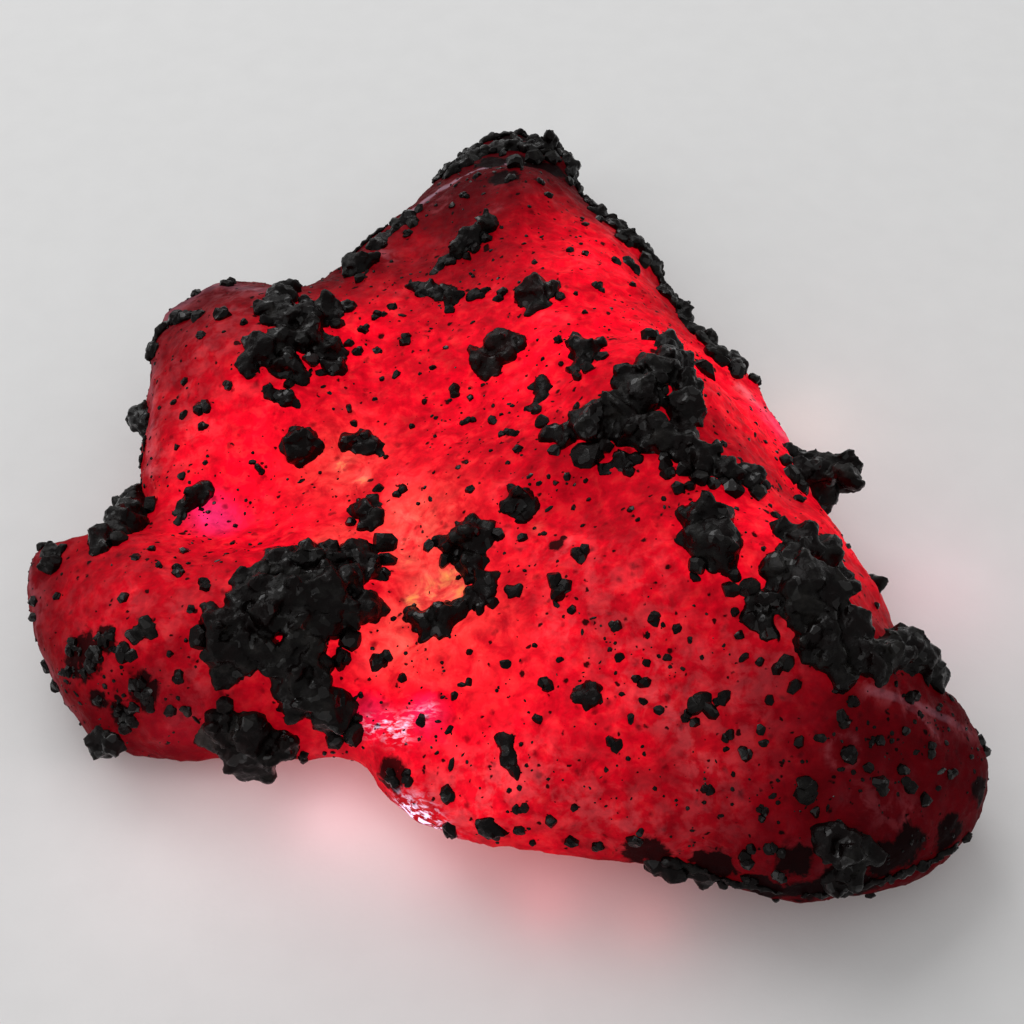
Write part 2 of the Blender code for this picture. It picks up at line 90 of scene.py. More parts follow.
# Where that light is hot: pixel, strength, reach in millimetres. Above 0 it turns orange, past 0.7 amber, and below 0
# pink
HOT_PLACES = (
    ((345, 465), 0.55, 2.8),
    ((338, 534), 0.35, 1.5),
    ((420, 525), 0.75, 3.2),
    ((438, 590), 0.90, 1.8),
    ((400, 640), 0.50, 2.6),
    ((470, 630), 0.25, 4.0),
    ((411, 601), 1.3, 0.45),
    ((452, 578), 1.1, 0.60),
    ((462, 592), 1.0, 0.45),
    ((343, 466), 1.0, 0.50),
    ((362, 482), 0.7, 0.70),
    ((344, 546), 1.1, 0.60),
    ((322, 540), 0.8, 0.50),
    ((404, 556), 0.7, 0.80),
    ((536, 528), 0.9, 0.40),
    ((206, 512), -0.60, 1.3),
    ((222, 524), -0.55, 1.3),
    ((426, 712), -0.45, 1.3),
    ((372, 712), -0.35, 1.2),
    ((790, 425), -0.40, 2.4),
)

# Painted glints: where the lamp's light would glare through the skin, painted as pale flecks of glow: pixel, strength,
# reach in millimetres
GLARE = (
    ((370, 727), 0.7, 0.50),
    ((386, 724), 0.9, 0.50),
    ((402, 730), 1.0, 0.65),
    ((416, 716), 0.8, 0.45),
    ((430, 711), 0.6, 0.40),
    ((392, 738), 0.6, 0.40),
    ((408, 810), 1.4, 0.80),
    ((422, 820), 1.8, 1.05),
    ((438, 829), 1.4, 0.80),
)

# Frosted ridges, partly painted sheen and highlight: pixels along the ridge, half width in millimetres, strength
RIDGES = (
    (((868, 690), (905, 700), (945, 718), (985, 746)), 0.55, 0.70),
    (((850, 672), (880, 690), (915, 712), (938, 736)), 0.40, 0.60),
    (((400, 222), (430, 197), (455, 181), (482, 169), (505, 163)), 0.55, 1.10),
    (((375, 245), (388, 258)), 0.80, 0.60),
    (((165, 318), (200, 292), (228, 284), (262, 290)), 1.9, 0.66),
    (((172, 420), (185, 350), (240, 312)), 3.2, 0.24),
    (((60, 620), (130, 600), (200, 650)), 4.0, 0.14),
    (((578, 188), (612, 236), (650, 282)), 0.6, 0.5),
    (((152, 360), (150, 430), (150, 470)), 1.4, 0.6),
    (((30, 560), (36, 610), (50, 670), (72, 720)), 1.2, 0.6),
    (((742, 388), (768, 416), (796, 452), (812, 490)), 0.9, 0.8),
    (((884, 560), (900, 600)), 1.2, 0.6),
    (((655, 700), (690, 735), (705, 780)), 1.5, 0.42),
    (((590, 600), (640, 660), (700, 700)), 3.5, 0.26),
    (((440, 800), (540, 780), (640, 830)), 2.5, 0.38),
    (((760, 640), (740, 700), (700, 830)), 2.5, 0.26),
    (((860, 800), (905, 815)), 1.1, 0.30),
)

# Dark stains under the skin: pixel, radius in millimetres
STAINS = (
    ((82, 655), 1.6),
    ((104, 640), 1.0),
    ((143, 690), 1.2),
    ((122, 714), 1.0),
    ((98, 700), 0.8),
    ((905, 850), 1.5),
    ((950, 832), 1.2),
    ((980, 790), 1.0),
    ((764, 888), 1.2),
    ((804, 892), 1.2),
    ((864, 884), 1.2),
    ((390, 776), 1.2),
    ((505, 178), 1.3),
    ((492, 162), 1.4),
    ((526, 163), 1.5),
    ((554, 170), 1.4),
    ((572, 180), 1.0),
    ((712, 866), 1.4),
    ((645, 852), 1.5),
    ((885, 858), 1.4),
    ((556, 545), 0.55),
    ((795, 862), 1.2),
    ((838, 880), 1.5),
    ((508, 139), 1.2),
    ((532, 140), 1.2),
    ((484, 151), 1.2),
)

# Pale rings that a lost grain leaves: pixel, radius in millimetres
RINGS = (((440, 204), 0.85), ((494, 208), 0.6), ((843, 750), 0.9), ((556, 546), 0.85))

# Crusts of fused grains along the edges: pixels along the crust, half width and radius of grains in millimetres
CRUSTS = (
    (
        ((428, 176), (447, 163), (466, 153), (486, 142), (503, 134), (530, 132), (552, 140), (572, 150), (582, 158)),
        0.45,
        0.42,
    ),
    (((470, 160), (496, 150), (520, 146), (545, 150), (566, 160)), 0.60, 0.40),
    (((452, 168), (480, 154), (508, 144), (536, 146), (560, 154), (578, 168)), 0.60, 0.34),
    (((578, 168), (583, 184), (594, 200), (608, 212)), 0.30, 0.40),
    (((612, 220), (622, 234), (640, 248), (654, 270)), 0.80, 0.62),
    (((654, 270), (664, 292)), 0.20, 0.36),
    (((664, 292), (676, 304), (688, 318), (698, 336), (706, 352)), 0.80, 0.62),
    (((708, 352), (730, 364), (748, 376), (760, 384)), 0.60, 0.58),
    (((344, 264), (352, 250), (368, 232), (384, 214)), 0.15, 0.26),
    (((150, 358), (157, 338), (168, 324), (184, 318), (202, 316)), 0.25, 0.42),
    (((140, 470), (146, 440), (142, 400)), 0.10, 0.22),
    (((660, 858), (684, 862), (704, 868)), 0.25, 0.35),
    (((726, 880), (744, 884)), 0.12, 0.25),
    (((264, 572), (300, 566), (338, 566)), 0.35, 0.50),
    (((276, 577), (306, 574), (342, 573)), 0.25, 0.42),
    (((76, 650), (96, 660), (108, 644)), 0.60, 0.30),
    (((134, 684), (150, 696), (124, 712)), 0.60, 0.28),
    (((800, 894), (846, 893), (880, 880), (930, 860)), 0.20, 0.26),
    (((690, 868), (730, 880), (780, 892)), 0.10, 0.22),
    (((886, 880), (930, 862), (968, 836)), 0.10, 0.22),
)

CRUST_STEP = 3.5  # pixels from grain to grain along a crust

# Where the stone's light leaks on to the paper, just outside its edge: place in millimetres, strength, colour
SPILT_LIGHT = (
    ((-18.0, -26.5, 8.0), 3.9, "#ffe2e4"),
    ((-9.5, -26.4, 4.0), 2.1, "#ffc8d0"),
    ((-6.0, -28.0, 3.0), 0.4, "#fff0f2"),
    ((-3.0, -29.5, 3.5), 0.6, "#ffb0b8"),
    ((3.5, -32.0, 3.0), 0.7, "#ff7c88"),
    ((9.5, -33.2, 3.0), 0.5, "#ff6a70"),
    ((30.5, -9.0, 6.0), 1.5, "#ffa0b4"),
    ((23.5, 7.0, 5.0), 1.1, "#ffc8bc"),
)

SPILT_LIGHT_RADIUS = 0.0015
PAPER_SIZE = 4.0
NEAREST_SEEN = 0.005  # the camera is only 0.1 m off, where Blender's own value would cut into the view

# Single black grains: pixel across, pixel down, radius in millimetres. The larger ones are small groups
SMALL_GRAINS = (
    (341, 655, 0.9), (807, 790, 0.9), (412, 223, 0.8), (558, 340, 0.5), (503, 295, 0.6),
    (668, 473, 0.8), (585, 225, 0.35), (570, 251, 0.35), (585, 254, 0.35), (535, 263, 0.3), (615, 261, 0.5),
    (630, 264, 0.5), (636, 273, 0.4), (596, 285, 0.5), (602, 291, 0.3), (632, 285, 0.3), (576, 294, 0.2),
    (585, 313, 0.3), (561, 364, 0.25), (392, 307, 0.4), (381, 314, 0.5), (364, 330, 0.5), (375, 318, 0.4),
    (406, 340, 0.65), (358, 353, 0.55), (377, 351, 0.45), (349, 344, 0.4), (446, 348, 0.2), (433, 368, 0.3),
    (396, 376, 0.35), (382, 379, 0.25), (455, 391, 0.65), (470, 398, 0.25), (425, 402, 0.3), (349, 409, 0.35),
    (436, 418, 0.2), (412, 427, 0.25), (354, 424, 0.3), (468, 422, 0.55), (494, 420, 0.5), (507, 434, 0.5),
    (577, 407, 0.3), (410, 235, 0.5), (464, 196, 0.5), (548, 196, 0.4), (507, 179, 0.6), (228, 284, 0.8),
    (196, 293, 0.6), (176, 321, 0.9), (198, 318, 0.8), (223, 314, 0.8), (200, 335, 0.5), (156, 347, 0.8),
    (185, 382, 0.4), (229, 384, 0.5), (202, 410, 0.7), (201, 426, 0.5), (184, 416, 0.4), (174, 403, 0.3),
    (177, 447, 0.3), (182, 476, 0.35), (244, 323, 0.4), (259, 468, 0.35), (262, 472, 0.3), (300, 464, 0.25),
    (379, 489, 0.4), (402, 490, 0.6), (386, 458, 0.25), (136, 558, 0.4), (152, 550, 0.3), (183, 552, 0.4),
    (159, 566, 0.3), (176, 571, 0.5), (206, 584, 0.5), (56, 597, 0.45), (124, 598, 0.4), (191, 609, 0.3),
    (126, 651, 0.8), (170, 654, 0.3), (178, 675, 0.55), (170, 710, 0.5), (188, 712, 0.45), (40, 543, 0.4),
    (33, 604, 0.5), (35, 617, 0.4), (44, 667, 0.6), (53, 686, 0.7), (724, 445, 0.45), (775, 516, 0.35),
    (631, 510, 0.25), (638, 520, 0.2), (653, 617, 0.55), (675, 628, 0.45), (740, 635, 0.35), (744, 658, 0.35),
    (760, 662, 0.3), (647, 663, 0.3), (667, 658, 0.3), (683, 669, 0.2), (620, 658, 0.35), (643, 683, 0.6),
    (643, 701, 0.3), (659, 710, 0.3), (631, 719, 0.3), (698, 706, 0.85), (694, 719, 0.5), (720, 701, 0.6),
    (787, 676, 0.8), (761, 730, 0.35), (764, 743, 0.3), (729, 739, 0.45), (747, 753, 0.5), (713, 790, 0.5),
    (841, 718, 0.6), (820, 738, 0.4), (911, 696, 0.6), (917, 628, 0.4), (847, 547, 0.3), (876, 606, 0.3),
    (881, 784, 0.7), (908, 787, 0.5), (746, 857, 0.7), (774, 850, 0.6), (749, 877, 0.6), (782, 877, 0.6),
    (990, 750, 0.6), (968, 839, 0.4), (870, 895, 0.4), (776, 901, 0.3), (722, 886, 0.4), (382, 659, 0.75),
    (402, 678, 0.4), (470, 652, 0.3), (506, 664, 0.4), (469, 682, 0.3), (454, 696, 0.3), (421, 721, 0.5),
    (392, 780, 0.6), (408, 776, 0.5), (447, 793, 0.7), (447, 825, 0.8), (305, 757, 0.5), (587, 554, 0.75),
    (561, 590, 0.9), (572, 610, 0.35), (545, 688, 0.6), (538, 719, 0.4), (615, 626, 0.5), (613, 747, 0.6),
    (551, 821, 0.4), (574, 807, 0.3), (572, 839, 0.6), (597, 845, 0.6), (519, 809, 0.5), (519, 830, 0.4),
    (533, 842, 0.3), (636, 839, 0.6), (470, 491, 0.4), (519, 451, 0.5), (515, 434, 0.35), (568, 477, 0.3),
    (556, 483, 0.25), (589, 500, 0.2), (574, 508, 0.25), (696, 578, 0.5), (74, 648, 0.7), (90, 660, 0.7),
    (104, 640, 0.6), (112, 632, 0.5), (68, 670, 0.5), (84, 672, 0.4), (138, 684, 0.7), (149, 695, 0.6),
    (120, 712, 0.6), (130, 722, 0.5), (98, 700, 0.45), (107, 738, 0.5), (845, 752, 0.75), (852, 702, 0.5),
    (902, 770, 0.5), (930, 745, 0.45), (950, 770, 0.45), (880, 740, 0.4), (925, 800, 0.5), (800, 742, 0.4),
    (762, 812, 0.45), (815, 812, 0.35), (905, 730, 0.35), (868, 768, 0.35), (540, 182, 0.5), (478, 176, 0.45),
    (452, 206, 0.35), (770, 700, 0.4), (735, 612, 0.3), (690, 640, 0.25), (600, 700, 0.3), (560, 660, 0.25),
)

# Single crystals that fill out the clusters' edges: pixel across, pixel down, radius in millimetres
EDGE_CRYSTALS = (
    (515, 166, 0.8), (534, 160, 0.75), (551, 160, 0.65), (568, 183, 0.45), (514, 138, 0.4), (503, 155, 0.4),
    (642, 261, 0.75), (620, 239, 0.45), (599, 221, 0.4), (628, 245, 0.4), (704, 372, 0.8), (717, 360, 0.75),
    (735, 372, 0.7), (650, 338, 0.6), (588, 456, 0.95), (606, 447, 0.65), (542, 424, 0.55), (700, 480, 0.65),
    (733, 490, 0.65), (683, 472, 0.6), (756, 495, 0.6), (712, 485, 0.5), (677, 490, 0.5), (764, 486, 0.45),
    (665, 459, 0.45), (663, 391, 0.4), (629, 473, 0.4), (723, 483, 0.4), (690, 487, 0.4), (555, 452, 0.4),
    (537, 411, 0.4), (800, 489, 0.6), (790, 476, 0.6), (784, 462, 0.55), (798, 500, 0.4), (750, 589, 0.6),
    (731, 590, 0.6), (767, 609, 0.4), (699, 565, 0.55), (384, 545, 0.85), (387, 562, 0.6), (385, 573, 0.4),
    (355, 732, 0.75), (334, 739, 0.55), (358, 718, 0.4), (200, 638, 0.7), (350, 640, 0.65), (225, 705, 0.5),
    (126, 727, 0.5), (153, 506, 0.6), (119, 541, 0.6), (360, 280, 0.55), (310, 362, 0.6), (337, 325, 0.55),
    (321, 374, 0.4), (289, 385, 0.4), (487, 239, 0.5), (475, 250, 0.5), (468, 258, 0.4), (451, 263, 0.4),
    (601, 358, 0.5), (589, 369, 0.45), (579, 377, 0.45), (560, 298, 0.4), (451, 311, 0.4), (419, 210, 0.45),
    (446, 560, 0.5), (430, 547, 0.4), (456, 561, 0.4), (521, 520, 0.4), (499, 535, 0.4), (523, 539, 0.4),
    (493, 603, 0.4), (351, 523, 0.4),
)

GROUP_RADIUS = 0.45  # a grain from this radius on, in millimetres, is a group
GROUP_COUNT = 3

# The finest specks: how many, the least radius and what chance adds to it in millimetres, and the sizes of the
# patches in which they lie thick
SPECK_COUNT = 2600
SPECK_RADIUS = (0.06, 0.18)
SPECK_PATCHES = (0.006, 0.002)
LEAST_SPECK_HEIGHT = 0.0004  # no speck is lower, where it would reach the paper
LONG_SPECKS = 0.12  # share of the specks that are drawn out

# Where a cluster's point is this near the stone it starts to sink, and this much nearer it sinks by the whole seat
SEAT_REACH = 0.0014
SEAT_FADE = 0.0009

RING_WIDTH = 0.22  # millimetres
RING_STRENGTH = 0.45

# Edges sharper than this stay sharp
CRYSTAL_ANGLE = math.radians(25)
CLUSTER_ANGLE = math.radians(48)
CRUST_ANGLE = math.radians(50)

# Each kind of piece draws its own chances, always the same
CLUSTER_SEED, GRAIN_SEED, CRUST_SEED, SPECK_SEED = 31, 4, 23, 11


def linear(code):
    """An sRGB hex colour as linear red, green and blue."""
    values = (int(code[k : k + 2], 16) / 255 for k in (1, 3, 5))
    return tuple(v / 12.92 if v <= 0.04045 else ((v + 0.055) / 1.055) ** 2.4 for v in values)


def length(name, description, default):
    return bpy.props.FloatProperty(
        name=name, description=description, default=default, min=0.0, subtype="DISTANCE", unit="LENGTH", precision=5
    )


def amount(name, description, default, unit="NONE"):
    return bpy.props.FloatProperty(name=name, description=description, default=default, min=0.0, unit=unit)


def colour(name, description, code):
    return bpy.props.FloatVectorProperty(
        name=name, description=description, default=linear(code), min=0.0, max=1.0, subtype="COLOR"
    )


class RubyStone(bpy.types.PropertyGroup):
    """Sizes and colours of the red stone."""

    voxel: length("Skin fineness", "Distance between points of the stone's skin", 0.00030)
    swell: length("Swell height", "Height of the low swells that wear leaves", 0.00022)
    swell_length: length("Swell length", "Length of those swells", 0.0024)
    knock: length("Knock depth", "Depth of small knocks in the skin", 0.00015)
    knock_length: length("Knock length", "Length of those knocks", 0.0008)
    deep: colour("Deep red", "Body of the stone where no light comes through", "#3a0309")
    # The frosted rose and lilac are frost on the ridges, and in part a painted sheen
    rose: colour("Frosted rose", "Skin frosted by wear", "#8a4249")
    lilac: colour("Frosted lilac", "Thick frost on the sharpest ridges", "#86707f")
    speck: colour("Dark speck", "Black mineral under the skin", "#0e0506")
    # The colours from here on are painted light: the stone's own glow stands in for a lamp beneath it
    milk: colour("Milky red", "Light that comes through frost", "#ff6c6e")
    lit: colour("Lit red", "Light that comes through the stone", "#ff0422")
    warm: colour("Hot orange", "Light through the thinnest parts", "#ff5f50")
    amber: colour("Amber", "Light through the very thinnest spots", "#ffa252")
    pink: colour("Hot pink", "Light that skims the skin", "#ff3078")
    # The glare is a painted glint of light right over the lamp
    glare: colour("Glare", "Wet skin right over the lamp", "#f8e0ff")
    strength: amount("Light strength", "Strength of the light through the stone", 1.35)


class BlackMineral(bpy.types.PropertyGroup):
    """Sizes and colours of the black mineral."""

    voxel: length("Skin fineness", "Distance between points of a cluster's skin", 0.00013)
    seat: length("Seat depth", "How far a cluster's seat goes into the stone's skin", 0.00065)
    crystal: length("Crystal size", "Half the width of the crystals that grow over a cluster", 0.00054)
    crystal_gap: length("Crystal spacing", "Distance between those crystals", 0.00095)
    facet: length("Crease spacing", "Distance between the creases in a cluster's skin", 0.00110)
    facet_depth: length("Crease depth", "Depth of those creases", 0.00018)
    block: length("Step size", "Size of the growth steps on a crystal", 0.00050)
    block_depth: length("Step height", "Height of those steps", 0.00014)
    black: colour("Black", "Colour of a clean face", "#030303")
    # The dull black is dust and in part a painted sheen on the faces
    dull: colour("Dull black", "Colour of a dusty face", "#221f1d")
    brown: colour("Brown", "Colour where red light seeps through", "#240b0a")


class PaperStage(bpy.types.PropertyGroup):
    """The paper and the soft light."""

    paper: colour("Paper", "Colour of the sheet under the stone", "#e6e6e6")
    key_power: amount("Window light", "Power of the large soft light behind", 2.6, "POWER")
    fill_power: amount("Fill light", "Power of the soft light in front", 0.5, "POWER")
    spill_power: amount("Spilt light", "Power of a small lamp under the stone at strength 1", 0.0002, "POWER")
    room: amount("Room light", "Brightness of the room all round", 0.51)


# Helpers


def only(obj):
    """Makes obj the one object that an operator acts on."""
    bpy.ops.object.select_all(action="DESELECT")
    obj.select_set(True)
    bpy.context.view_layer.objects.active = obj


def copy_of_node(node, name):
    """A new piece with its own copy of a CAD node's mesh, its loose triangles merged into one skin."""
    piece = bpy.data.objects.new(name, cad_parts[node].data.copy())
    piece.data.materials.clear()
    bpy.context.scene.collection.objects.link(piece)
    only(piece)
    bpy.ops.object.mode_set(mode="EDIT")
    bpy.ops.mesh.select_all(action="SELECT")
    bpy.ops.mesh.remove_doubles(threshold=1e-7)
    bpy.ops.object.mode_set(mode="OBJECT")
    return piece


def with_modifier(kind, **settings):
    """Adds a modifier to the active object, sets it and applies it."""
    bpy.ops.object.modifier_add(type=kind)
    modifier = bpy.context.object.modifiers[-1]
    for name, value in settings.items():
        setattr(modifier, name, value)
    bpy.ops.object.modifier_apply(modifier=modifier.name)


def pattern(name, kind, **settings):
    """A texture for a Displace modifier."""
    made = bpy.data.textures.new(name, kind)
    for key, value in settings.items():
        setattr(made, key, value)
    return made


def skin_tree(obj):
    """A search tree of an object's faces."""
    return BVHTree.FromPolygons([v.co for v in obj.data.vertices], [p.vertices for p in obj.data.polygons])


def spot(tree, pixel):
    """The surface at a pixel of the picture: place and normal. A sight line that misses takes the nearest surface."""
    half = PICTURE_PIXELS / 2
    across = (pixel[0] - half) / half * math.tan(VIEW_HALF_ANGLE)
    up = (half - pixel[1]) / half * math.tan(VIEW_HALF_ANGLE)
    eye = VIEW_CENTRE - FORWARD * VIEW_DISTANCE
    direction = (FORWARD + UPWARD * up + Vector((across, 0.0, 0.0))).normalized()
    place, normal, _, _ = tree.ray_cast(eye, direction)
    if place is None:
        levels = (0.0005 * k for k in range(40))
        found = [tree.find_nearest(eye + direction * ((level - eye.z) / direction.z)) for level in levels]
        place, normal, _, _ = min(found, key=lambda hit: hit[3])
    return place, normal


def points_of(obj):
    """The places of an object's points, as rows."""
    points = np.zeros(len(obj.data.vertices) * 3)
    obj.data.vertices.foreach_get("co", points)
    return points.reshape(-1, 3)


def mounds(points, marks, tree):
    """The sum of smooth mounds round marks whose values are pixel, strength and reach in millimetres."""
    total = np.zeros(len(points))
    for pixel, strength, reach in marks:
        away = points - np.array(spot(tree, pixel)[0])
        total += strength * np.exp(-(away**2).sum(1) / (reach * MM) ** 2)
    return total


def frost_and_painted_sheen(points, tree):
    """How far each point is on a ridge of frost and painted sheen, or on a pale ring, from 0 to its strength."""
    total = np.zeros(len(points))
    for pixels, width, strength in RIDGES:
        corners = [np.array(spot(tree, pixel)[0]) for pixel in pixels]
        away = np.full(len(points), 1.0)
        for a, b in zip(corners, corners[1:]):
            share = np.clip(((points - a) @ (b - a)) / ((b - a) @ (b - a)), 0, 1)
            away = np.minimum(away, np.linalg.norm(points - a - share[:, None] * (b - a), axis=1))
        total = np.maximum(total, strength * np.exp(-((away / (width * MM)) ** 2)))
    for pixel, radius in RINGS:
        away = np.linalg.norm(points - np.array(spot(tree, pixel)[0]), axis=1) / MM
        total = np.maximum(total, RING_STRENGTH * np.exp(-(((away - radius) / RING_WIDTH) ** 2)))
    return total


def stained(points, tree):
    """How dark each point is stained, from 0 to 1. The material makes the edges ragged."""
    total = np.zeros(len(points))
    for pixel, radius in STAINS:
        away = np.linalg.norm(points - np.array(spot(tree, pixel)[0]), axis=1) / (radius * MM)
        total = np.maximum(total, np.clip(1.5 - away, 0, 1))
    return total


def store(obj, name, values):
    """Keeps one value for each point of an object's mesh, for its material to read."""
    attribute = obj.data.attributes.new(name, "FLOAT", "POINT")
    attribute.data.foreach_set("value", np.asarray(values, np.float32))


def add_node(tree, kind, settings=None, sockets=None):
    """Adds a shader node with its settings, and for its sockets values or the outputs that feed them."""
    made = tree.nodes.new(kind)
    for name, value in (settings or {}).items():
        setattr(made, name, value)
    for socket, value in (sockets or {}).items():
        if isinstance(value, bpy.types.NodeSocket):
            tree.links.new(value, made.inputs[socket])
        else:
            made.inputs[socket].default_value = value
    return made


def opaque(values):
    return (*values, 1.0)


def drift(chance):
    """A step in any direction, by chance."""
    return Vector((chance.gauss(0, 1), chance.gauss(0, 1), chance.gauss(0, 1)))


def crystal(seed, cuts, fineness=1, nearest=0.5):
    """A blocky crystal of about unit radius: flat faces cut one after another on a ball, the nearest that far in."""
    chance = random.Random(seed)
    bpy.ops.object.select_all(action="DESELECT")
    bpy.ops.mesh.primitive_ico_sphere_add(subdivisions=fineness, radius=1.0)
    made = bpy.context.object
    bpy.ops.object.mode_set(mode="EDIT")
    for _ in range(cuts):
        facing = drift(chance).normalized()
        bpy.ops.mesh.select_all(action="SELECT")
        bpy.ops.mesh.bisect(
            plane_co=facing * chance.uniform(nearest, 0.82), plane_no=facing, use_fill=True, clear_outer=True
        )
    bpy.ops.object.mode_set(mode="OBJECT")
    return made


def set_on(template, place, normal, radius, chance, lift, drawn_out=1.0):
    """A copy of a crystal with its own mesh, set on the skin at a place, turned and stretched by chance. lift is how
    far its middle is above the skin, in radii."""
    made = bpy.data.objects.new("crystal", template.data.copy())
    bpy.context.scene.collection.objects.link(made)
    turn = normal.to_track_quat("Z", "Y").to_matrix().to_4x4()
    tilt = 0.5 / drawn_out
    angles = (chance.uniform(-tilt, tilt), chance.uniform(-tilt, tilt), chance.uniform(0, math.tau))
    lean = Euler(angles).to_matrix().to_4x4()
    across, along = radius * chance.uniform(0.8, 1.2), radius * chance.uniform(0.8, 1.2) * drawn_out
    size = Matrix.Diagonal((across, along, radius * chance.uniform(0.6, 0.9), 1))
    made.data.transform(Matrix.Translation(place + normal * radius * lift) @ turn @ lean @ size)
    return made


def joined(parts):
    """Joins parts into the first of them."""
    only(parts[0])
    for part in parts:
        part.select_set(True)
    bpy.ops.object.join()
    return bpy.context.object


def as_piece(copies, templates, name, material):
    """Joins copies of crystals into one piece of the object, and takes their templates away."""
    for template in templates:
        bpy.data.objects.remove(template)
    piece = joined(copies)
    piece.name = name
    bpy.ops.object.shade_smooth_by_angle(angle=CRYSTAL_ANGLE)
    piece.data.materials.append(material)
    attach(piece, "root")


def over_skin(piece, templates, chance, look):
    """Copies of crystals strewn evenly over a piece's skin, sunk in it by a third."""
    faces = piece.data.polygons
    corners = [[piece.data.vertices[k].co.copy() for k in face.vertices[:3]] for face in faces]
    areas = [face.area for face in faces]
    copies = []
    for k in chance.choices(range(len(faces)), areas, k=round(sum(areas) / look.crystal_gap**2)):
        a, b, c = corners[k]
        u, v = sorted((chance.random(), chance.random()))
        size = look.crystal * chance.uniform(0.6, 1.3)
        place = a * u + b * (v - u) + c * (1 - v)
        facing = faces[k].normal.copy()
        copies.append(set_on(chance.choice(templates), place, facing, size, chance, lift=-0.35))
    return copies


# Materials


